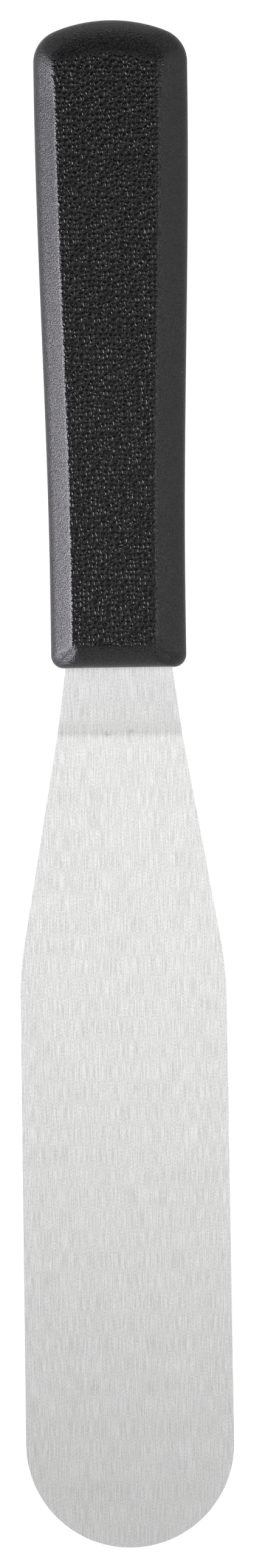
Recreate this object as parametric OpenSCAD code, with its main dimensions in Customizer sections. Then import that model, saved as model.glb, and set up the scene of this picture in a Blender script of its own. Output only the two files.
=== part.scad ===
// Offset spatula: a cranked steel blade whose tang is moulded into a plastic handle.
// X runs across the blade, Y along it with the tip at -Y and the butt at +Y, Z up.
// The origin is at mid-length, on the plane that the blade's underside lies in.

/* [Blade] */
// Reach of the blade in front of the handle, seen from above
blade_reach = 160.8; // [130:0.1:200]
// Width of the blade at its widest, which the half-round tip follows
blade_width = 38.1; // [30:0.1:46]
// How much narrower each side is at the shoulder than at the widest place
shoulder_relief = 0.2; // [0:0.05:1.5]
// Distance from the handle to the shoulders
shoulder_reach = 55.2; // [42:0.1:70]
// Radius of the soft turn at each shoulder
shoulder_radius = 60; // [20:1:90]
// Thickness of the steel in the tang, the neck and the heel
steel_thickness = 1.4; // [1:0.1:2]
// Thickness of the steel at the tip
tip_thickness = 0.8; // [0.5:0.1:1]

/* [Crank] */
// Width of the neck where it leaves the handle
neck_width = 19.4; // [16:0.1:23]
// Width of the heel, where the blade comes level again
heel_width = 22.9; // [18:0.1:28]
// Distance from the handle to the heel
heel_reach = 12.1; // [10:0.1:18]
// How far inside the handle the upper bend starts
bend_setback = 1; // [0:0.1:3]
// Angle of the neck below the level of the tang
crank_angle = 50; // [35:1:65]
// Inside radius of both bends
bend_radius = 2.5; // [1:0.1:3]

/* [Tang] */
// Width of the tang
tang_width = 14; // [10:0.1:18]
// How far the full width of the neck runs into the handle
neck_depth = 7; // [4:0.1:12]
// Length over which the neck narrows to the tang
neck_taper = 5; // [3:0.1:8]
// Plastic left behind the end of the tang
butt_cover = 18; // [10:0.1:25]
// Diameter of the holes that the plastic fills
plug_diameter = 6; // [4:0.1:8]
// Number of those holes
plug_count = 3; // [1:1:4]

/* [Handle] */
// Length of the handle
handle_length = 117.4; // [95:0.1:145]
// Width of the handle near the butt
butt_width = 28; // [24:0.1:34]
// Width of the handle at the front
front_width = 24.6; // [24:0.1:30]
// Thickness of the handle near the butt
butt_thickness = 17; // [14:0.1:21]
// Thickness of the handle at the front
front_thickness = 15.4; // [12.5:0.1:19]
// Length at the butt that keeps its full width
full_length = 9.6; // [4:0.1:20]
// Length at the front that keeps its slim width
slim_length = 11.6; // [2:0.1:25]
// Radius of the crowned butt
crown_radius = 27.5; // [20:0.1:40]
// Radius of the corners at the butt
butt_corner = 6; // [2:0.1:8]
// Radius of the corners at the front
front_corner = 2.25; // [0.5:0.05:2.4]

/* [Bevels] */
// Width of the bevel along each side, seen from above
side_bevel = 4.9; // [3:0.1:6]
// Length of the bevel at the butt
butt_bevel = 6.2; // [4:0.1:8]
// Length of the bevel at the front
front_bevel = 3.7; // [3:0.1:6]
// Drop of the bevels from the grip panel to the side wall
bevel_drop = 4.6; // [3:0.1:5.5]
// Radius of the edge between side wall and bevel
edge_radius = 4.5; // [0.5:0.1:5]
// Radius of the ridge between bevel and grip panel
ridge_radius = 1.6; // [0.5:0.1:2]
// Crown of the panel's edge at the butt
panel_crown = 24.5; // [18:0.1:36]
// Radius of the panel's corners
panel_corner = 1.6; // [0.5:0.1:3]

/* [Hidden] */
$fn = 96;

butt_y = (blade_reach + handle_length) / 2;
front_y = butt_y - handle_length;
tip_y = front_y - blade_reach;
tip_radius = blade_width / 2;
heel_y = front_y - heel_reach;
bend_y = front_y + bend_setback;
tang_end_y = butt_y - butt_cover;

// Plan length of the straight slope between the bends, and the height it gives the tang.
outer_bend = bend_radius + steel_thickness;
slope_run = heel_reach + bend_setback - (bend_radius + outer_bend) * sin(crank_angle);
tang_z = (bend_radius + outer_bend) * (1 - cos(crank_angle)) + slope_run * tan(crank_angle);
handle_z = tang_z + steel_thickness / 2;

// Room that keeps the cutting shapes clear of the steel they trim.
spare = 2;

bend_steps = 12;
flank_steps = 22;
corner_steps = 7;
crown_steps = 7;
edge_steps = 4;

function reversed(list) = [for (i = [len(list) - 1:-1:0]) list[i]];
function mirrored(list) = [for (p = reversed(list)) [-p[0], p[1]]];
function mix(a, b, share) = a + (b - a) * share;

// Points that round the corner at b, between a and c, with an arc.
function rounded(a, b, c, radius, steps) =
    let (
        in_dir = (b - a) / norm(b - a),
        out_dir = (c - b) / norm(c - b),
        turn = acos(in_dir * out_dir),
        side = sign(in_dir[0] * out_dir[1] - in_dir[1] * out_dir[0]),
        normal = side * [-in_dir[1], in_dir[0]],
        start = b - in_dir * radius * tan(turn / 2)
    )
    [for (i = [0:steps])
        let (angle = turn * i / steps)
        start + radius * (sin(angle) * in_dir + (1 - cos(angle)) * normal)];

// Right-hand side of the blade in plan, from the tang's end to the middle of the tip's arc.
heel_point = [heel_width / 2, heel_y];
shoulder_point = [blade_width / 2 - shoulder_relief, front_y - shoulder_reach];
tip_point = [tip_radius, tip_y + tip_radius];
blade_side = concat(
    [
        [tang_width / 2, tang_end_y - tang_width / 2],
        [tang_width / 2, front_y + neck_depth + neck_taper],
        [neck_width / 2, front_y + neck_depth],
        [neck_width / 2, front_y],
        heel_point
    ],
    rounded(heel_point, shoulder_point, tip_point, shoulder_radius, 12),
    [tip_point]
);

// The blade's plan, standing tall enough to trim the bent sheet.
module blade_plan() {
    height = handle_z + 2 * spare;
    translate([0, 0, -spare]) {
        linear_extrude(height) polygon(concat(blade_side, mirrored(blade_side)));
        translate([0, tip_y + tip_radius, 0]) cylinder(h = height, r = tip_radius);
        translate([0, tang_end_y - tang_width / 2, 0]) cylinder(h = height, d = tang_width);
    }
}

// The bent sheet in side view, as [Y, Z] points along its top and back along its underside.
function bend_arc(y, z, radius, from, to) =
    [for (i = [0:bend_steps])
        let (angle = mix(from, to, i / bend_steps))
        [y + radius * cos(angle), z + radius * sin(angle)]];
sheet_top = concat(
    [[tang_end_y + spare, handle_z + steel_thickness / 2]],
    bend_arc(bend_y, tang_z - bend_radius, outer_bend, 90, 90 + crank_angle),
    bend_arc(heel_y, outer_bend, bend_radius, 270 + crank_angle, 270),
    [[tip_y, tip_thickness]]
);
sheet_under = concat(
    [[tip_y, 0]],
    bend_arc(heel_y, outer_bend, outer_bend, 270, 270 + crank_angle),
    bend_arc(bend_y, tang_z - bend_radius, bend_radius, 90 + crank_angle, 90),
    [[tang_end_y + spare, tang_z]]
);

module sheet() {
    rotate([90, 0, 90])
        linear_extrude(blade_width + 2 * spare, center = true)
            polygon(concat(sheet_top, sheet_under));
}

module blade() {
    first_plug = front_y + neck_depth + neck_taper + plug_diameter;
    last_plug = tang_end_y - tang_width / 2 - plug_diameter / 2;
    plug_pitch = (last_plug - first_plug) / max(plug_count - 1, 1);
    color("gainsboro") difference() {
        intersection() {
            sheet();
            blade_plan();
        }
        for (i = [0:plug_count - 1])
            translate([0, first_plug + i * plug_pitch, tang_z - spare])
                cylinder(h = steel_thickness + 2 * spare, d = plug_diameter);
    }
}

// The handle swells from front to butt in an S: 0 at the front, 1 near the butt.
function swell(y) =
    let (
        swelling = handle_length - full_length - slim_length,
        run = min(max((butt_y - full_length - y) / swelling, 0), 1)
    )
    (1 + cos(180 * run)) / 2;
function half_width(y) = mix(front_width, butt_width, swell(y)) / 2;
function thickness_share(y) = mix(front_thickness / butt_thickness, 1, swell(y));

// Right-hand side of the handle's outline, or of the panel's, which lies inset from it.
function handle_side(inset, front, back, corner_front, corner_back, crown) =
    let (
        wide = butt_width / 2 - inset,
        narrow = front_width / 2 - inset,
        corner_x = wide - corner_back,
        rise = sqrt(pow(crown - corner_back, 2) - pow(corner_x, 2)),
        corner_y = back - crown + rise,
        meet = atan2(rise, corner_x)
    )
    concat(
        [for (i = [0:corner_steps - 1])
            let (angle = 90 * i / corner_steps)
            [narrow - corner_front + corner_front * sin(angle),
             front + corner_front * (1 - cos(angle))]],
        [for (i = [0:flank_steps])
            let (y = mix(front + corner_front, corner_y, i / flank_steps))
            [half_width(y) - inset, y]],
        [for (i = [1:corner_steps])
            let (angle = meet * i / corner_steps)
            [corner_x + corner_back * cos(angle), corner_y + corner_back * sin(angle)]],
        [for (i = [1:crown_steps])
            let (angle = mix(meet, 90, i / (crown_steps + 0.5)))
            [crown * cos(angle), back - crown + crown * sin(angle)]]
    );

outline_side = handle_side(0, front_y, butt_y, front_corner, butt_corner, crown_radius);
panel_side = handle_side(
    side_bevel, front_y + front_bevel, butt_y - butt_bevel, panel_corner, panel_corner, panel_crown
);
outline = concat(outline_side, mirrored(outline_side));
panel = concat(panel_side, mirrored(panel_side));

// Section of one bevel, as [share of the way to the panel, height above the middle].
// A thin handle has little wall, so its edge takes a smaller radius.
bevel_section = let (
    wall_end = [0, butt_thickness / 2 - bevel_drop],
    panel_start = [side_bevel, butt_thickness / 2],
    edge = min(edge_radius, 2 * wall_end[1]),
    points = concat(
        rounded([0, 0], wall_end, panel_start, edge, edge_steps),
        rounded(wall_end, panel_start, [2 * side_bevel, butt_thickness / 2], ridge_radius, edge_steps)
    )
) [for (p = points) [p[0] / side_bevel, p[1]]];
levels = concat([for (p = reversed(bevel_section)) [p[0], -p[1]]], bevel_section);

module handle_body() {
    count = len(outline);
    half = len(outline_side);
    top = (len(levels) - 1) * count;
    points = [
        for (level = levels)
            for (i = [0:count - 1])
                let (p = mix(outline[i], panel[i], level[0]))
                [p[0], p[1], handle_z + level[1] * thickness_share(p[1])]
    ];
    walls = [
        for (k = [0:len(levels) - 2])
            for (i = [0:count - 1])
                let (a = k * count + i, b = k * count + (i + 1) % count)
                each [[a, a + count, b + count], [a, b + count, b]]
    ];
    // The panels close in strips from side to side, each strip flat.
    panels = [
        for (i = [0:half - 2])
            let (j = count - 1 - i)
            each [[i, i + 1, j - 1, j], [top + i, top + j, top + j - 1, top + i + 1]]
    ];
    polyhedron(points, concat(walls, panels), convexity = 6);
}

module handle() {
    color("#26262a") difference() {
        handle_body();
        blade();
    }
}

blade();
handle();
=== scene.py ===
"""Looks of the offset spatula: a brushed steel blade and a black handle with grained grip panels."""
import math

import bmesh
import bpy
from mathutils import Matrix, Vector


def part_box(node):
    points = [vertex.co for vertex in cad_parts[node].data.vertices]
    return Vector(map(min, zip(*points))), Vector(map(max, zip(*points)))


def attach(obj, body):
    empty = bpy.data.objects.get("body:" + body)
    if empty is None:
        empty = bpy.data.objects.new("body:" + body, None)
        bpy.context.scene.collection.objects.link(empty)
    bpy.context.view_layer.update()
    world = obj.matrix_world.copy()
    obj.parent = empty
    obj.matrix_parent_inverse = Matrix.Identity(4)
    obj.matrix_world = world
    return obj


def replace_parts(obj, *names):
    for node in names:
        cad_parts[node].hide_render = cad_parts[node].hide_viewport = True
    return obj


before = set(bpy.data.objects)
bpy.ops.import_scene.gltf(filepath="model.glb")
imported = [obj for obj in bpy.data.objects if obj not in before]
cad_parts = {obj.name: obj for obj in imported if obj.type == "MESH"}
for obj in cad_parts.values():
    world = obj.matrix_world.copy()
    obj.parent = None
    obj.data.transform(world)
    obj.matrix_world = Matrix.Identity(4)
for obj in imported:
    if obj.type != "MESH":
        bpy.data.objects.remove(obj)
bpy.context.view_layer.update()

MM = 0.001


# ---------------------------------------------------------------- sizes, in metres

blade_low, blade_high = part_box("blade")
handle_low, handle_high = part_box("handle")

TIP_Y = blade_low.y
TANG_END_Y = blade_high.y
BLADE_HALF = blade_high.x
FRONT_Y = handle_low.y
BUTT_Y = handle_high.y
HANDLE_Z = (handle_low.z + handle_high.z) / 2

# Blade, seen from above.
NECK_HALF = 9.7 * MM
HEEL_HALF = 11.45 * MM
HEEL_REACH = 12.1 * MM
SHOULDER_REACH = 55.2 * MM
SHOULDER_RELIEF = 0.2 * MM
SHOULDER_RADIUS = 60 * MM
TANG_HALF = 7 * MM
NECK_DEPTH = 7 * MM
NECK_TAPER = 5 * MM
PLUG_RADIUS = 3 * MM
PLUG_COUNT = 3

# Blade, seen from the side.
STEEL = 1.4 * MM
TIP_STEEL = 0.8 * MM
BEND_RADIUS = 2.5 * MM
OUTER_BEND = BEND_RADIUS + STEEL
BEND_SETBACK = 1 * MM
CRANK = math.radians(50)
TANG_Z = blade_high.z - STEEL
RIM_ROUND = 0.22 * MM
RIM_COVER = 2 * MM
RIM_FLATNESS = 1.5
RIM_ANGLE = 1
FLAT_ANGLE = math.radians(0.2)
SHARP_ANGLE = math.radians(10)
CUT_SLACK = 1e-7
MERGE = 1e-6

# Handle.
FRONT_HALF = 12.3 * MM
BUTT_HALF = handle_high.x
HALF_THICK = (handle_high.z - handle_low.z) / 2
FRONT_THICK_SHARE = 15.4 / 17
FULL_LENGTH = 9.6 * MM
SLIM_LENGTH = 11.6 * MM
FRONT_CORNER = 2.25 * MM
BUTT_CORNER = 6 * MM
CROWN_RADIUS = 27.5 * MM
PANEL_CORNER = 1.6 * MM
PANEL_CROWN = 24.5 * MM
SIDE_BEVEL = 5.3 * MM
BUTT_BEVEL = 6.2 * MM
FRONT_BEVEL = 3.7 * MM
BEVEL_DROP = 4.6 * MM
EDGE_RADIUS = 4.5 * MM
RIDGE_RADIUS = 1.6 * MM
RIDGE_INSET = 0.68 * MM
PANEL_SHIFT = -0.8 * MM
BELLY = Vector((0.11 * MM, -0.11 * MM))
PARTING_LINE = 0.12 * MM
SWEEP_START = math.radians(25)

# Shares of an edge over which the bevels of ends and flanks blend into each other.
FRONT_BLEND = 0.3
BUTT_BLEND = 0.45
FLANK_BLEND = 0.08

# Grain and polish across the ridge, step by step from the panel outwards.
RIDGE_GRIP = (1, 0.8, 0.4, 0, 0)
RIDGE_WEAR = (0, 0.3, 0.8, 1, 0.6)

# Number of steps along each curve.
TANG_STEPS = 12
HOLE_STEPS = 32
SHOULDER_STEPS = 14
TIP_STEPS = 40
BEND_STEPS = 10
RIM_STEPS = 3
CORNER_STEPS = 8
CROWN_STEPS = 16
FLANK_STEPS = 60
EDGE_STEPS = 4

# Painted shade in the blade's lower bend, a darker band across it, and two smudges, tool marks.
BAND_Y = FRONT_Y - 11.6 * MM
BAND_BOW = 6
BAND_HALF = 1.6 * MM
BAND_SHADE = 0.06
SMUDGE_RADIUS = 0.75 * MM
SMUDGE_STRETCH = 0.7
SMUDGES = (
    (-2.35 * MM, FRONT_Y - 12.1 * MM, 0.6),
    (2.1 * MM, FRONT_Y - 11.6 * MM, 0.35),
)

# The neck is left coarser than the ground blade, and the lower bend coarser still; both are also painted
# paler, a painted highlight that brightens them.
BEND_Y = FRONT_Y - HEEL_REACH + 1.5 * MM
BEND_SATIN = 2.4 * MM
NECK_SATIN = 1 * MM
NECK_SHARE = 0.75
COARSE_ROUGHNESS = 0.27
COARSE_PAINTED_LIGHT = 0.15

# Brushing: cycles per metre across and along the blade.
HAIR_PITCH = (8500, 3200, 0)
LINE_PITCH = (6500, 260, 0)
CLOUD_PITCH = (300, 60, 0)
SHORT_SCRATCH_PITCH = (7000, 420, 0)
LONG_SCRATCH_PITCH = (6000, 70, 0)
PATCH_PITCH = (2500, 1800, 0)
CLOUD_SHARE = 0.05
BRUSH_STRENGTH = 0.5
BRUSH_HEIGHT = 0.012 * MM

# Grain on the grip panels.
PEBBLE_WIDTH = 0.84 * MM
PEBBLE_LENGTH = 0.95 * MM
PEBBLE_HEIGHT = 0.19 * MM
PEBBLE_FADE = 0.12 * MM
CUT_DEPTH = 0.09 * MM
PEBBLE_STRAY = 0.7
PEBBLE_RANDOMNESS = 0.8
FLANK_HEIGHT = 0.45
DOME_HEIGHT = 0.55
PANEL_COLUMNS = 104
PANEL_ROWS = 360

# Plastic.
MOULD_GRAIN = 0.24 * MM
BEVEL_GRAIN_HEIGHT = 0.12 * MM
PANEL_GRAIN_HEIGHT = 0.06 * MM
PANEL_SPECKLE = 0.2
WEAR_SMOOTH = 0.6
WEAR_SHINE = 0.07
GRIP_SHINE = 0.02
PLASTIC_SPECULAR = 0.32
LINT_PITCH = 3.2 * MM
LINT_RADIUS = 0.09 * MM
LINT_SHARE = 0.6

# Colours.
STEEL_DARK = (0.7, 0.698, 0.695, 1)
STEEL_PALE = (0.98, 0.978, 0.975, 1)
SCRATCH_COLOUR = (1, 1, 1, 1)
SHADE_AND_SMUDGE_COLOUR = (0.3, 0.29, 0.27, 1)
PLASTIC_DARK = (0.0005, 0.0005, 0.0006, 1)
PLASTIC_PALE = (0.015, 0.015, 0.0158, 1)
LINT_COLOUR = (0.3, 0.3, 0.3, 1)


# ---------------------------------------------------------------- helpers

def mix(a, b, share):
    return a + (b - a) * share


def clamp(value, low=0.0, high=1.0):
    return max(low, min(high, value))


def ease(value):
    value = clamp(value)
    return value * value * (3 - 2 * value)


def rounded(a, b, c, radius, steps):
    """Points of the arc that rounds the corner at b, between a and c."""
    into, out = (b - a).normalized(), (c - b).normalized()
    turn = math.acos(clamp(into.dot(out), -1.0, 1.0))
    side = math.copysign(1.0, into.x * out.y - into.y * out.x)
    normal = Vector((-into.y, into.x)) * side
    start = b - into * radius * math.tan(turn / 2)
    points = []
    for i in range(steps + 1):
        angle = turn * i / steps
        points.append(start + radius * (math.sin(angle) * into + (1 - math.cos(angle)) * normal))
    return points


def arc(centre, radius, start, end, steps):
    """Points of an arc in plan, angles in radians from +X towards +Y."""
    angles = [mix(start, end, i / steps) for i in range(steps + 1)]
    return [centre + radius * Vector((math.cos(a), math.sin(a))) for a in angles]


class Path:
    """A line of points that can be asked for the place at a share of its length."""

    def __init__(self, points):
        self.points = points
        self.lengths = [0.0]
        for a, b in zip(points, points[1:]):
            self.lengths.append(self.lengths[-1] + (b - a).length)

    def at(self, share):
        want = clamp(share) * self.lengths[-1]
        low, high = 0, len(self.points) - 1
        while high - low > 1:
            middle = (low + high) // 2
            if self.lengths[middle] <= want:
                low = middle
            else:
                high = middle
        step = self.lengths[high] - self.lengths[low]
        part = (want - self.lengths[low]) / step if step else 0.0
        return self.points[low].lerp(self.points[high], part)


def piece(name, bm, material):
    """Turns a bmesh into an object with one material."""
    mesh = bpy.data.meshes.new(name)
    bm.to_mesh(mesh)
    bm.free()
    mesh.materials.append(material)
    obj = bpy.data.objects.new(name, mesh)
    bpy.context.scene.collection.objects.link(obj)
    return obj


class Nodes:
    """Short ways to place and join shader nodes in one tree."""

    def __init__(self, tree):
        self.tree = tree

    def add(self, kind, settings=None, **inputs):
        node = self.tree.nodes.new(kind)
        for key, value in (settings or {}).items():
            setattr(node, key, value)
        for key, value in inputs.items():
            self.feed(node.inputs[key.replace("_", " ")], value)
        return node

    def feed(self, socket, value):
        if isinstance(value, bpy.types.NodeSocket):
            self.tree.links.new(value, socket)
        else:
            socket.default_value = value

    def math(self, operation, *values):
        node = self.add("ShaderNodeMath", {"operation": operation})
        for socket, value in zip(node.inputs, values):
            self.feed(socket, value)
        return node.outputs[0]

    def stretch(self, vector, scale):
        node = self.add("ShaderNodeVectorMath", {"operation": "MULTIPLY"})
        self.feed(node.inputs[0], vector)
        node.inputs[1].default_value = scale
        return node.outputs[0]

    def noise(self, vector, scale, detail=2.0, roughness=0.5):
        node = self.add(
            "ShaderNodeTexNoise", Vector=vector, Scale=scale, Detail=detail, Roughness=roughness
        )
        return node.outputs["Fac"]

    def spread(self, value, low, high, to_low, to_high, smooth=False):
        curve = "SMOOTHSTEP" if smooth else "LINEAR"
        node = self.add("ShaderNodeMapRange", {"interpolation_type": curve})
        for socket, number in zip(node.inputs[:5], (value, low, high, to_low, to_high)):
            self.feed(socket, number)
        return node.outputs["Result"]

    def tint(self, share, colour_a, colour_b):
        node = self.add("ShaderNodeMix", {"data_type": "RGBA"})
        self.feed(node.inputs["Factor"], share)
        for socket, colour in zip([s for s in node.inputs if s.type == "RGBA"], (colour_a, colour_b)):
            self.feed(socket, colour)
        return node.outputs[2]


# ---------------------------------------------------------------- blade

def blade_side():
    """Right-hand side of the blade in plan, from the end of the tang round to the tip."""
    heel = Vector((HEEL_HALF, FRONT_Y - HEEL_REACH))
    shoulder = Vector((BLADE_HALF - SHOULDER_RELIEF, FRONT_Y - SHOULDER_REACH))
    tip_middle = Vector((0, TIP_Y + BLADE_HALF))
    tip_side = tip_middle + Vector((BLADE_HALF, 0))
    tang_middle = Vector((0, TANG_END_Y - TANG_HALF))
    return (
        arc(tang_middle, TANG_HALF, math.pi / 2, 0, TANG_STEPS)
        + [Vector((TANG_HALF, FRONT_Y + NECK_DEPTH + NECK_TAPER)),
           Vector((NECK_HALF, FRONT_Y + NECK_DEPTH)),
           Vector((NECK_HALF, FRONT_Y)),
           heel]
        + rounded(heel, shoulder, tip_side, SHOULDER_RADIUS, SHOULDER_STEPS)
        + arc(tip_middle, BLADE_HALF, 0, -math.pi / 2, TIP_STEPS)
    )


def sheet_heights(y):
    """Height of the top and of the underside of the bent sheet at a place along the blade."""
    reach = FRONT_Y - y
    bend_middle = TANG_Z - BEND_RADIUS
    sine, cosine = math.sin(CRANK), math.cos(CRANK)
    if reach <= -BEND_SETBACK:
        return TANG_Z + STEEL, TANG_Z
    if reach >= HEEL_REACH:
        share = (reach - HEEL_REACH) / (FRONT_Y - TIP_Y - HEEL_REACH)
        return mix(STEEL, TIP_STEEL, share), 0.0

    def height(upper_radius, lower_radius):
        along = reach + BEND_SETBACK
        back = HEEL_REACH - reach
        if along <= upper_radius * sine:
            return bend_middle + math.sqrt(upper_radius ** 2 - along ** 2)
        if back <= lower_radius * sine:
            return OUTER_BEND - math.sqrt(lower_radius ** 2 - back ** 2)
        start = bend_middle + upper_radius * cosine
        return start - (along - upper_radius * sine) * math.tan(CRANK)

    return height(OUTER_BEND, BEND_RADIUS), height(BEND_RADIUS, OUTER_BEND)


def bend_lines():
    """Places along the blade where the sheet needs an edge across it to follow its two bends."""
    reach = OUTER_BEND * math.sin(CRANK)
    lines = []
    for i in range(BEND_STEPS + 1):
        lines.append(FRONT_Y + BEND_SETBACK - reach * i / BEND_STEPS)
        lines.append(FRONT_Y - HEEL_REACH + reach * i / BEND_STEPS)
    return lines


def make_blade(material):
    """Fills the blade's plan, with the tang's holes, lifts it to a plate and bends that to shape."""
    bm = bmesh.new()
    right = blade_side()
    left = [Vector((-p.x, p.y)) for p in reversed(right[1:-1])]
    corners = [bm.verts.new((p.x, p.y, 0)) for p in right + left]
    edges = [bm.edges.new((a, b)) for a, b in zip(corners, corners[1:] + corners[:1])]
    first = FRONT_Y + NECK_DEPTH + NECK_TAPER + 2 * PLUG_RADIUS
    last = TANG_END_Y - TANG_HALF - PLUG_RADIUS
    for i in range(PLUG_COUNT):
        place = Matrix.Translation((0, mix(first, last, i / (PLUG_COUNT - 1)), 0))
        hole = bmesh.ops.create_circle(bm, segments=HOLE_STEPS, radius=PLUG_RADIUS, matrix=place)
        edges += list(dict.fromkeys(e for v in hole["verts"] for e in v.link_edges))
    bmesh.ops.triangle_fill(bm, use_beauty=True, use_dissolve=False, edges=edges, normal=(0, 0, -1))
    under = bm.faces[:]
    lifted = bmesh.ops.extrude_face_region(bm, geom=under)["geom"]
    top = {v for v in lifted if isinstance(v, bmesh.types.BMVert)}
    bmesh.ops.translate(bm, verts=list(top), vec=(0, 0, STEEL))
    for y in bend_lines():
        everything = bm.verts[:] + bm.edges[:] + bm.faces[:]
        bmesh.ops.bisect_plane(
            bm, geom=everything, dist=CUT_SLACK, plane_co=(0, y, 0), plane_no=(0, 1, 0)
        )
    bmesh.ops.recalc_face_normals(bm, faces=bm.faces[:])
    rim = [e for e in bm.edges if is_rim(e)]
    for v in bm.verts:
        upper, lower = sheet_heights(v.co.y)
        v.co.z = upper if v.co.z > STEEL / 2 else lower
    bmesh.ops.bevel(
        bm, geom=rim, offset=RIM_ROUND, offset_type="OFFSET", segments=RIM_STEPS, profile=0.5,
        affect="EDGES", material=-1, clamp_overlap=True,
    )
    bmesh.ops.dissolve_limit(bm, angle_limit=FLAT_ANGLE, verts=bm.verts[:], edges=bm.edges[:])
    for face in bm.faces:
        face.smooth = True
    obj = piece("spatula_blade", bm, material)
    obj.data.set_sharp_from_angle(angle=SHARP_ANGLE)
    return obj


def is_rim(edge):
    """True for an edge where the plate's top or underside meets its side, in front of the handle."""
    if len(edge.link_faces) != 2 or max(v.co.y for v in edge.verts) > FRONT_Y + RIM_COVER:
        return False
    flatness = sum(abs(face.normal.z) for face in edge.link_faces)
    return flatness < RIM_FLATNESS and edge.calc_face_angle() > RIM_ANGLE


# ---------------------------------------------------------------- handle

def swell(y):
    """The handle's S-shaped swelling: 0 at the front, 1 near the butt."""
    run = (BUTT_Y - FULL_LENGTH - y) / (BUTT_Y - FULL_LENGTH - FRONT_Y - SLIM_LENGTH)
    return (1 + math.cos(math.pi * clamp(run))) / 2


def rim_paths(inset, front, back, front_corner, back_corner, crown, shift=0.0):
    """Right-hand half of an outline, cut at the middle of its corners into front, flank and butt."""
    wide = BUTT_HALF - inset
    narrow = FRONT_HALF - inset
    middle_x = wide - back_corner
    rise = math.sqrt((crown - back_corner) ** 2 - middle_x ** 2)
    corner_y = back - crown + rise
    meet = math.atan2(rise, middle_x)
    front_middle = Vector((narrow - front_corner, front + front_corner))
    back_middle = Vector((middle_x, corner_y))
    crown_middle = Vector((0, back - crown))
    flank = []
    for i in range(FLANK_STEPS + 1):
        y = mix(front + front_corner, corner_y, i / FLANK_STEPS)
        flank.append(Vector((mix(FRONT_HALF, BUTT_HALF, swell(y)) - inset, y)))
    quarter = math.pi / 4
    paths = {
        "front": [Vector((0, front))]
        + arc(front_middle, front_corner, -2 * quarter, -quarter, CORNER_STEPS),
        "flank": arc(front_middle, front_corner, -quarter, 0, CORNER_STEPS)
        + flank[1:-1]
        + arc(back_middle, back_corner, 0, meet / 2, CORNER_STEPS),
        "butt": arc(crown_middle, crown, 2 * quarter, meet, CROWN_STEPS)[:-1]
        + arc(back_middle, back_corner, meet, meet / 2, CORNER_STEPS),
    }
    return {name: Path(points) for name, points in paths.items()}, shift


def rim_point(rim, u, v):
    """An outline's point for a place (u, v) on the edge of the unit square, v running to the butt."""
    paths, shift = rim
    across = 2 * u - 1
    if v <= 0:
        p = paths["front"].at(abs(across))
    elif v >= 1:
        p = paths["butt"].at(abs(across))
    else:
        p = paths["flank"].at(v)
    return Vector((math.copysign(p.x, across) + shift, p.y))


OUTLINE = rim_paths(0, FRONT_Y, BUTT_Y, FRONT_CORNER, BUTT_CORNER, CROWN_RADIUS)
PANEL = rim_paths(
    SIDE_BEVEL, FRONT_Y + FRONT_BEVEL, BUTT_Y - BUTT_BEVEL, PANEL_CORNER, PANEL_CORNER, PANEL_CROWN,
    shift=PANEL_SHIFT,
)


def flank_section():
    """From grip panel to side wall: share of the way in to the panel, height over the middle."""
    wall_top = Vector((0, HALF_THICK - BEVEL_DROP))
    panel_edge = Vector((SIDE_BEVEL - RIDGE_INSET, HALF_THICK))
    belly = (wall_top + panel_edge) / 2 + BELLY
    inside = Vector((2 * SIDE_BEVEL, HALF_THICK))
    points = (
        rounded(belly, panel_edge, inside, RIDGE_RADIUS, EDGE_STEPS)[::-1]
        + [belly]
        + rounded(Vector((0, 0)), wall_top, belly, EDGE_RADIUS, EDGE_STEPS)[::-1]
        + [Vector((0, PARTING_LINE)), Vector((PARTING_LINE / 2, 0))]
    )
    return [(p.x / SIDE_BEVEL, p.y) for p in points]


def end_section():
    """The same steps where butt and front curve down in one sweep, with no ridge."""
    flank = flank_section()
    steps = len(flank) - 3
    curve = []
    for i in range(steps + 1):
        turn = mix(SWEEP_START, math.pi / 2, i / steps)
        share = (1 - math.sin(turn)) / (1 - math.sin(SWEEP_START))
        drop = 1 - math.cos(turn) / math.cos(SWEEP_START)
        curve.append((share, HALF_THICK - BEVEL_DROP * drop))
    return curve + flank[-2:]


FLANK_SECTION = flank_section()
END_SECTION = end_section()


def section_step(u, v, step):
    """The section's step at a place on the rim: ends and flanks blend near the corners."""
    inward = 1 - abs(2 * u - 1)
    if v <= 0:
        ends = ease(inward / FRONT_BLEND)
    elif v >= 1:
        ends = mix(0.5, 1, ease(inward / BUTT_BLEND))
    else:
        ends = ease((v - 1 + FLANK_BLEND) / FLANK_BLEND) / 2
    return [mix(a, b, ends) for a, b in zip(FLANK_SECTION[step], END_SECTION[step])]


def thickness_share(y):
    return mix(FRONT_THICK_SHARE, 1, swell(y))


def rim_place(u, v, step):
    """A point of the handle's upper half at a place on the rim and a step of the bevel's section."""
    share, height = section_step(u, v, step)
    p = rim_point(OUTLINE, u, v).lerp(rim_point(PANEL, u, v), share)
    return Vector((p.x, p.y, height * thickness_share(p.y)))


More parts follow.
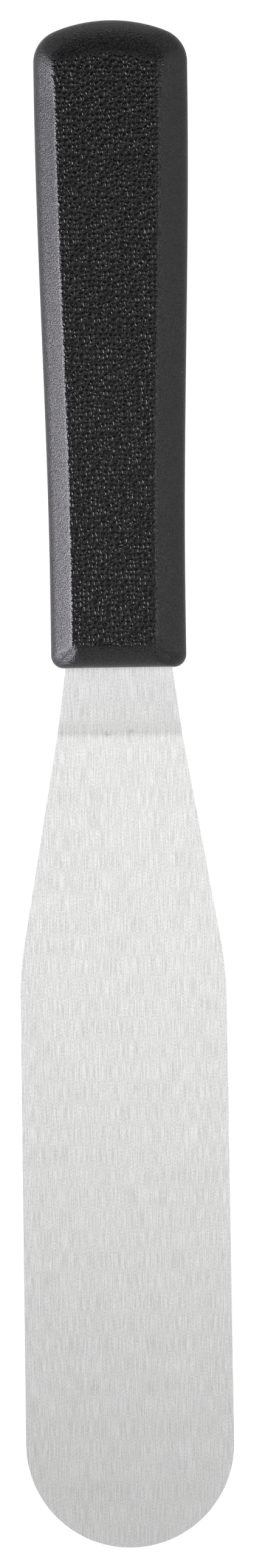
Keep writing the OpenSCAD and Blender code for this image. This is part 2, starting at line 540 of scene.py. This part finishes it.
def panel_surface(bm):
    """The flat of the grip panel as a grid that follows its outline, marked where it takes the grain."""
    bmesh.ops.create_grid(bm, x_segments=PANEL_COLUMNS, y_segments=PANEL_ROWS, size=1)
    place = bm.verts.layers.float_vector.new("place")
    grip = bm.verts.layers.float.new("grip")
    wear = bm.verts.layers.float.new("wear")
    corners = {(u, v): rim_place(u, v, 0) for u in (0, 1) for v in (0, 1)}
    ends = {}
    sides = {}
    for vert in bm.verts:
        u, v = round((vert.co.x + 1) / 2, 6), round((vert.co.y + 1) / 2, 6)
        if u not in ends:
            ends[u] = [rim_place(u, end, 0) for end in (0, 1)]
        if v not in sides:
            sides[v] = [rim_place(side, v, 0) for side in (0, 1)]
        lengthwise = ends[u][0].lerp(ends[u][1], v)
        crosswise = sides[v][0].lerp(sides[v][1], u)
        square = corners[0, 0].lerp(corners[0, 1], v).lerp(corners[1, 0].lerp(corners[1, 1], v), u)
        p = lengthwise + crosswise - square
        edge = min(p.y - ends[u][0].y, ends[u][1].y - p.y)
        vert[place] = (u, v, 0)
        vert[grip] = clamp(edge / PEBBLE_FADE)
        vert.co = (p.x, p.y, HALF_THICK * thickness_share(p.y))
    return place, grip, wear


def make_handle(material, relief):
    """Grows bevels and side wall out of the panel's edge, mirrors that half and cuts the grain."""
    bm = bmesh.new()
    place, grip, wear = panel_surface(bm)
    rim = [e for e in bm.edges if e.is_boundary]
    for step in range(1, len(FLANK_SECTION)):
        grown = bmesh.ops.extrude_edge_only(bm, edges=rim)["geom"]
        rim = [e for e in grown if isinstance(e, bmesh.types.BMEdge)]
        for vert in {v for e in rim for v in e.verts}:
            u, v = round(vert[place][0], 6), round(vert[place][1], 6)
            ridge = u in (0, 1) and 0 < v < 1 and step < len(RIDGE_GRIP)
            vert[grip] = RIDGE_GRIP[step] if ridge else 0
            vert[wear] = RIDGE_WEAR[step] if ridge else 0
            vert.co = rim_place(u, v, step)
    everything = bm.verts[:] + bm.edges[:] + bm.faces[:]
    bmesh.ops.mirror(bm, geom=everything, matrix=Matrix.Identity(4), merge_dist=MERGE, axis="Z")
    bmesh.ops.remove_doubles(bm, verts=bm.verts[:], dist=MERGE)
    bmesh.ops.translate(bm, verts=bm.verts[:], vec=(0, 0, HANDLE_Z))
    bmesh.ops.recalc_face_normals(bm, faces=bm.faces[:])
    for face in bm.faces:
        face.smooth = True
    obj = piece("spatula_handle", bm, material)
    cut = obj.modifiers.new("grain", "NODES")
    cut.node_group = relief
    bpy.context.view_layer.update()
    carved = bpy.data.meshes.new_from_object(obj.evaluated_get(bpy.context.evaluated_depsgraph_get()))
    obj.modifiers.clear()
    obj.data = carved
    return obj


# ---------------------------------------------------------------- materials

def new_group(name, kind, inputs, outputs):
    """A node group with named sockets: the group, a pen for it, what goes in and what comes out."""
    group = bpy.data.node_groups.new(name, kind)
    for label, socket_kind in inputs:
        group.interface.new_socket(label, in_out="INPUT", socket_type=socket_kind)
    for label, socket_kind in outputs:
        group.interface.new_socket(label, in_out="OUTPUT", socket_type=socket_kind)
    given = group.nodes.new("NodeGroupInput").outputs
    return group, Nodes(group), given, group.nodes.new("NodeGroupOutput").inputs


def pebbles(nodes, place):
    """Height of the pebbled grain at a place: 0 in the grooves, near 1 on the tops."""
    pitch = nodes.stretch(place, (1 / PEBBLE_WIDTH, 1 / PEBBLE_LENGTH, 0))
    stray = nodes.add("ShaderNodeTexNoise", Vector=pitch, Scale=0.9, Detail=1.0).outputs["Color"]
    shift = nodes.add("ShaderNodeVectorMath", {"operation": "MULTIPLY_ADD"})
    nodes.feed(shift.inputs[0], stray)
    shift.inputs[1].default_value = (PEBBLE_STRAY, PEBBLE_STRAY, 0)
    nodes.feed(shift.inputs[2], pitch)

    def distance(feature):
        cells = nodes.add(
            "ShaderNodeTexVoronoi", {"voronoi_dimensions": "2D", "feature": feature},
            Vector=shift.outputs[0], Scale=1.0, Randomness=PEBBLE_RANDOMNESS,
        )
        return cells.outputs["Distance"]

    flank = nodes.spread(distance("DISTANCE_TO_EDGE"), 0.02, 0.26, 0, FLANK_HEIGHT, smooth=True)
    dome = nodes.spread(distance("F1"), 0.1, 0.5, DOME_HEIGHT, 0, smooth=True)
    return nodes.math("ADD", flank, dome)


def relief_group():
    """Cuts the pebbled grain into a mesh, as deep as its grip attribute says."""
    group, nodes, given, out = new_group(
        "pebbled_relief", "GeometryNodeTree",
        [("Geometry", "NodeSocketGeometry")], [("Geometry", "NodeSocketGeometry")],
    )
    height = pebbles(nodes, nodes.add("GeometryNodeInputPosition").outputs[0])
    grip = nodes.add("GeometryNodeInputNamedAttribute", {"data_type": "FLOAT"}, Name="grip")
    groove = nodes.math("MULTIPLY_ADD", height, CUT_DEPTH, -CUT_DEPTH)
    depth = nodes.math("MULTIPLY", grip.outputs[0], groove)
    offset = nodes.add("ShaderNodeVectorMath", {"operation": "SCALE"})
    nodes.feed(offset.inputs[0], nodes.add("GeometryNodeInputNormal").outputs[0])
    nodes.feed(offset.inputs["Scale"], depth)
    moved = nodes.add("GeometryNodeSetPosition", Geometry=given["Geometry"], Offset=offset.outputs[0])
    nodes.feed(out["Geometry"], moved.outputs[0])
    return group


def brushing_group():
    """Fine lines drawn along the blade: Shade, Height and the few bright Scratches."""
    group, nodes, given, out = new_group(
        "brushing", "ShaderNodeTree", [("Vector", "NodeSocketVector")],
        [("Shade", "NodeSocketFloat"), ("Height", "NodeSocketFloat"), ("Scratches", "NodeSocketFloat")],
    )
    place = given["Vector"]
    hair = nodes.noise(nodes.stretch(place, HAIR_PITCH), 1.0, detail=1.0)
    line = nodes.noise(nodes.stretch(place, LINE_PITCH), 1.0)
    cloud = nodes.noise(nodes.stretch(place, CLOUD_PITCH), 1.0)
    fine = nodes.math("MULTIPLY_ADD", hair, 0.5, nodes.math("MULTIPLY", line, 0.5))
    clouds = nodes.math("MULTIPLY", cloud, CLOUD_SHARE)
    shade = nodes.math("MULTIPLY_ADD", fine, 1 - CLOUD_SHARE, clouds)
    short = nodes.noise(nodes.stretch(place, SHORT_SCRATCH_PITCH), 1.0, detail=1.0)
    short = nodes.spread(short, 0.69, 0.77, 0, 1)
    long = nodes.noise(nodes.stretch(place, LONG_SCRATCH_PITCH), 1.0, detail=0.0)
    long = nodes.spread(long, 0.72, 0.8, 0, 0.8)
    nodes.feed(out["Shade"], shade)
    nodes.feed(out["Height"], fine)
    nodes.feed(out["Scratches"], nodes.math("MAXIMUM", short, long))
    return group


def heel_shade_and_smudges_group():
    """The faint grey Shade in the lower bend, a soft band of painted shade and two smudges of tool
    marks, and the Coarse neck, rougher and painted paler.
    """
    group, nodes, given, out = new_group(
        "heel_shade_and_smudges", "ShaderNodeTree", [("Vector", "NodeSocketVector")],
        [("Shade", "NodeSocketFloat"), ("Coarse", "NodeSocketFloat")],
    )
    place = given["Vector"]
    apart = nodes.add("ShaderNodeSeparateXYZ", Vector=place).outputs
    bow = nodes.math("MULTIPLY_ADD", nodes.math("MULTIPLY", apart["X"], apart["X"]), BAND_BOW, BAND_Y)
    off = nodes.math("ABSOLUTE", nodes.math("SUBTRACT", apart["Y"], bow))
    patchy = nodes.noise(nodes.stretch(place, PATCH_PITCH), 1.0, detail=3.0)
    # The band is painted shade, the darkening that falls across the bend.
    band = nodes.spread(off, 0, BAND_HALF, BAND_SHADE, 0, smooth=True)
    shade = nodes.math("MULTIPLY", band, patchy)
    for x, y, strength in SMUDGES:
        away = nodes.add("ShaderNodeVectorMath", {"operation": "DISTANCE"})
        nodes.feed(away.inputs[0], nodes.stretch(place, (1, SMUDGE_STRETCH, 0)))
        away.inputs[1].default_value = (x, SMUDGE_STRETCH * y, 0)
        spot = nodes.spread(away.outputs["Value"], 0, SMUDGE_RADIUS, strength, 0, smooth=True)
        shade = nodes.math("MULTIPLY_ADD", spot, nodes.spread(patchy, 0.35, 0.65, 0.1, 1), shade)
    nodes.feed(out["Shade"], shade)
    from_bend = nodes.math("ABSOLUTE", nodes.math("SUBTRACT", apart["Y"], BEND_Y))
    bend = nodes.spread(from_bend, 0, BEND_SATIN, 1, 0, smooth=True)
    low, high = BEND_Y - NECK_SATIN, BEND_Y + NECK_SATIN
    neck = nodes.spread(apart["Y"], low, high, 0, NECK_SHARE, smooth=True)
    nodes.feed(out["Coarse"], nodes.math("MAXIMUM", bend, neck))
    return group


def mould_grain_group():
    """The fine matt grain of an etched mould: Height, and Shade with soft patches in it."""
    group, nodes, given, out = new_group(
        "mould_grain", "ShaderNodeTree",
        [("Vector", "NodeSocketVector"), ("Size", "NodeSocketFloat")],
        [("Height", "NodeSocketFloat"), ("Shade", "NodeSocketFloat")],
    )
    pitch = nodes.math("DIVIDE", 1.0, given["Size"])
    coarse = nodes.noise(given["Vector"], pitch, detail=1.0, roughness=0.6)
    patch = nodes.noise(given["Vector"], nodes.math("MULTIPLY", pitch, 0.07))
    nodes.feed(out["Height"], coarse)
    nodes.feed(out["Shade"], nodes.math("MULTIPLY_ADD", coarse, 0.6, nodes.math("MULTIPLY", patch, 0.4)))
    return group


def new_material(name):
    material = bpy.data.materials.new(name)
    material.use_nodes = True
    material.node_tree.nodes.clear()
    nodes = Nodes(material.node_tree)
    place = nodes.add("ShaderNodeTexCoord").outputs["Object"]
    return material, nodes, place


def finish_material(nodes, shader):
    output = nodes.add("ShaderNodeOutputMaterial")
    nodes.feed(output.inputs["Surface"], shader.outputs[0])


def steel_material(brushing, heel_shade_and_smudges):
    material, nodes, place = new_material("brushed_steel")
    lines = nodes.add("ShaderNodeGroup", {"node_tree": brushing}, Vector=place).outputs
    shade_and_smudges = nodes.add("ShaderNodeGroup", {"node_tree": heel_shade_and_smudges}, Vector=place).outputs
    plain = nodes.tint(nodes.spread(lines["Shade"], 0.4, 0.6, 0, 1), STEEL_DARK, STEEL_PALE)
    # Painted light: the coarse neck and bend are tinted paler to brighten them.
    pale = nodes.tint(nodes.math("MULTIPLY", shade_and_smudges["Coarse"], COARSE_PAINTED_LIGHT), plain, STEEL_PALE)
    scratched = nodes.tint(lines["Scratches"], pale, SCRATCH_COLOUR)
    # Painted shade of the bend, and the two smudges, darken the steel's colour here.
    colour = nodes.tint(shade_and_smudges["Shade"], scratched, SHADE_AND_SMUDGE_COLOUR)
    satin = nodes.spread(lines["Shade"], 0.3, 0.7, 0.40, 0.32)
    bump = nodes.add(
        "ShaderNodeBump", Strength=BRUSH_STRENGTH, Distance=BRUSH_HEIGHT, Height=lines["Height"]
    )
    shader = nodes.add(
        "ShaderNodeBsdfPrincipled", Base_Color=colour, Metallic=1.0, Normal=bump.outputs[0],
        Roughness=nodes.math("MULTIPLY_ADD", shade_and_smudges["Coarse"], COARSE_ROUGHNESS, satin),
    )
    finish_material(nodes, shader)
    return material


def handle_material(mould_grain):
    material, nodes, place = new_material("black_moulded_plastic")
    grain = nodes.add(
        "ShaderNodeGroup", {"node_tree": mould_grain}, Vector=place, Size=MOULD_GRAIN
    ).outputs
    grip = nodes.add("ShaderNodeAttribute", {"attribute_name": "grip"}).outputs["Fac"]
    wear = nodes.add("ShaderNodeAttribute", {"attribute_name": "wear"}).outputs["Fac"]

    speckle_top = nodes.spread(grip, 0, 1, 1, PANEL_SPECKLE)
    speckle = nodes.spread(grain["Height"], 0.44, 0.66, 0, speckle_top)
    plain = nodes.tint(speckle, PLASTIC_DARK, PLASTIC_PALE)
    lint = nodes.add("ShaderNodeTexVoronoi", Vector=place, Scale=1 / LINT_PITCH).outputs["Distance"]
    bits = nodes.math("LESS_THAN", lint, LINT_RADIUS / LINT_PITCH)
    colour = nodes.tint(nodes.math("MULTIPLY", bits, LINT_SHARE), plain, LINT_COLOUR)

    raised = nodes.math("MULTIPLY", grip, pebbles(nodes, place))
    rest = nodes.math("MULTIPLY", raised, PEBBLE_HEIGHT - CUT_DEPTH)
    smooth = nodes.math("MAXIMUM", grip, nodes.math("MULTIPLY", wear, WEAR_SMOOTH))
    fine = nodes.spread(smooth, 0, 1, BEVEL_GRAIN_HEIGHT, PANEL_GRAIN_HEIGHT)
    height = nodes.math("MULTIPLY_ADD", grain["Height"], fine, rest)
    bump = nodes.add("ShaderNodeBump", Strength=1.0, Distance=1.0, Height=height)

    matt = nodes.spread(grain["Shade"], 0.35, 0.65, 0.26, 0.34)
    matt = nodes.math("MULTIPLY_ADD", grip, -GRIP_SHINE, matt)
    matt = nodes.math("MULTIPLY_ADD", wear, -WEAR_SHINE, matt)
    shader = nodes.add(
        "ShaderNodeBsdfPrincipled", Base_Color=colour, Normal=bump.outputs[0], Roughness=matt
    )
    shader.inputs["Specular IOR Level"].default_value = PLASTIC_SPECULAR
    finish_material(nodes, shader)
    return material


# ---------------------------------------------------------------- stage

VIEW_HEIGHT = 286.8 * MM
VIEW_MIDDLE = (1.17 * MM, 0.52 * MM)
LENS = 250
SENSOR = 36
LEAN = math.radians(-0.83)

# Brightness of the studio's walls and ceiling, and how high up, as a sine, one turns into the other.
WALLS = 0.5
OVERHEAD = 0.02
WALLS_END = 0.25
CEILING_START = 0.65

FLOOR_HALF = 3
FLOOR_DROP = 0.05 * MM
FLOOR_COLOUR = (0.8, 0.8, 0.8, 1)
FLOOR_SEEN = (0.25, 0.25, 0.25, 1)
FLOOR_GLOW = 0.88
# Light that has come no further than this has just left the blade's underside.
TOUCH = 1 * MM

WHITE = (1, 1, 1)
COOL = (0.955, 0.925, 1)

# Each lamp's name, place, the point it faces, size, power and colour.
LAMPS = (
    ("top_softbox", (0, 0.08, 0.5), (0, 0.08, 0), (0.3, 0.4), 0.458, WHITE),
    ("top_front_softbox", (0, -0.24, 0.5), (0, -0.24, 0), (0.6, 0.24), 0.18, WHITE),
    ("left_window", (-0.65, -0.15, 0.13), (0, -0.15, 0), (0.64, 0.24), 12.8, COOL),
    ("left_softbox", (-0.65, -0.1, 0.35), (0, -0.1, 0), (0.5, 0.2), 1.9, COOL),
    ("right_window", (0.65, 0.03, 0.1), (0, 0.03, 0), (1.0, 0.12), 0.9, WHITE),
    ("right_softbox", (0.45, 0, 0.5), (0, 0, 0), (0.5, 0.12), 1.7, WHITE),
    ("front_softbox", (0, -0.55, 0.5), (0, 0, 0), (0.7, 0.3), 1.0, WHITE),
    ("front_window", (0, -0.65, 0.1), (0, 0, 0), (0.5, 0.18), 0.3, WHITE),
    ("back_window", (0, 0.75, 0.07), (0, 0, 0), (0.6, 0.12), 0.92, WHITE),
)
# These would only mirror as glare in the blade, so a flag keeps them off it.
FLAGGED = ("left_window", "left_softbox", "right_window")


def make_camera():
    data = bpy.data.cameras.new("camera")
    data.lens = LENS
    data.sensor_width = SENSOR
    camera = bpy.data.objects.new("camera", data)
    distance = VIEW_HEIGHT * LENS / SENSOR
    camera.location = (*VIEW_MIDDLE, distance)
    camera.rotation_euler = (0, 0, LEAN)
    data.clip_end = 2 * distance
    bpy.context.scene.collection.objects.link(camera)
    bpy.context.scene.camera = camera


def make_floor():
    """A floor that shows as white to the eye, pale grey in the steel, and still takes a shadow.

    It is clear from below, and to light that leaves the blade's underside, so that this shows too.
    """
    bm = bmesh.new()
    bmesh.ops.create_grid(bm, x_segments=1, y_segments=1, size=FLOOR_HALF)
    bmesh.ops.translate(bm, verts=bm.verts[:], vec=(0, 0, -FLOOR_DROP))
    material, nodes, _ = new_material("white_floor")
    plain = nodes.add("ShaderNodeBsdfDiffuse", Color=FLOOR_COLOUR)
    faint = nodes.add("ShaderNodeBsdfDiffuse", Color=FLOOR_SEEN)
    glow = nodes.add("ShaderNodeEmission", Color=(*WHITE, 1), Strength=FLOOR_GLOW)
    clear = nodes.add("ShaderNodeBsdfTransparent")
    seen = nodes.add("ShaderNodeLightPath").outputs
    white = nodes.add("ShaderNodeAddShader")
    nodes.feed(white.inputs[0], faint.outputs[0])
    nodes.feed(white.inputs[1], glow.outputs[0])
    lit = nodes.add("ShaderNodeMixShader")
    nodes.feed(lit.inputs[0], seen["Is Camera Ray"])
    nodes.feed(lit.inputs[1], plain.outputs[0])
    nodes.feed(lit.inputs[2], white.outputs[0])
    below = nodes.add("ShaderNodeNewGeometry").outputs["Backfacing"]
    touching = nodes.math("LESS_THAN", seen["Ray Length"], TOUCH)
    floor = nodes.add("ShaderNodeMixShader")
    nodes.feed(floor.inputs[0], nodes.math("MAXIMUM", below, touching))
    nodes.feed(floor.inputs[1], lit.outputs[0])
    nodes.feed(floor.inputs[2], clear.outputs[0])
    finish_material(nodes, floor)
    piece("floor", bm, material)


def make_world():
    """White all round to the eye, and a studio with pale walls and a dimmer ceiling to the spatula."""
    world = bpy.data.worlds.new("studio")
    world.use_nodes = True
    world.node_tree.nodes.clear()
    nodes = Nodes(world.node_tree)
    seen = nodes.add("ShaderNodeLightPath").outputs["Is Camera Ray"]
    direction = nodes.add("ShaderNodeSeparateXYZ")
    nodes.feed(direction.inputs[0], nodes.add("ShaderNodeTexCoord").outputs["Generated"])
    studio = nodes.spread(direction.outputs["Z"], WALLS_END, CEILING_START, WALLS, OVERHEAD)
    strength = nodes.math("MAXIMUM", seen, studio)
    sky = nodes.add("ShaderNodeBackground", Color=(*WHITE, 1), Strength=strength)
    output = nodes.add("ShaderNodeOutputWorld")
    nodes.feed(output.inputs["Surface"], sky.outputs[0])
    bpy.context.scene.world = world


def add_softbox(name, place, aim, size, power, colour):
    """A rectangular lamp at a place, turned to face a point."""
    data = bpy.data.lights.new(name, "AREA")
    data.shape = "RECTANGLE"
    data.size, data.size_y = size
    data.energy = power
    data.color = colour
    lamp = bpy.data.objects.new(name, data)
    lamp.location = place
    lamp.rotation_euler = (Vector(aim) - Vector(place)).to_track_quat("-Z", "Y").to_euler()
    lamp.visible_camera = False
    bpy.context.scene.collection.objects.link(lamp)
    return lamp


def flag_off(lamp, obj):
    """Keeps a lamp's light off one object, as a flag on a stand would."""
    flagged = bpy.data.collections.new(lamp.name + "_flag")
    flagged.objects.link(obj)
    flagged.collection_objects[0].light_linking.link_state = "EXCLUDE"
    lamp.light_linking.receiver_collection = flagged


def make_lights(blade):
    for lamp in [add_softbox(*row) for row in LAMPS]:
        if lamp.name in FLAGGED:
            flag_off(lamp, blade)


# ---------------------------------------------------------------- the scene

make_camera()
make_floor()
make_world()
bpy.context.scene.view_settings.view_transform = "Standard"

blade = make_blade(steel_material(brushing_group(), heel_shade_and_smudges_group()))
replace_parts(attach(blade, "root"), "blade")
make_lights(blade)

handle = make_handle(handle_material(mould_grain_group()), relief_group())
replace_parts(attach(handle, "root"), "handle")
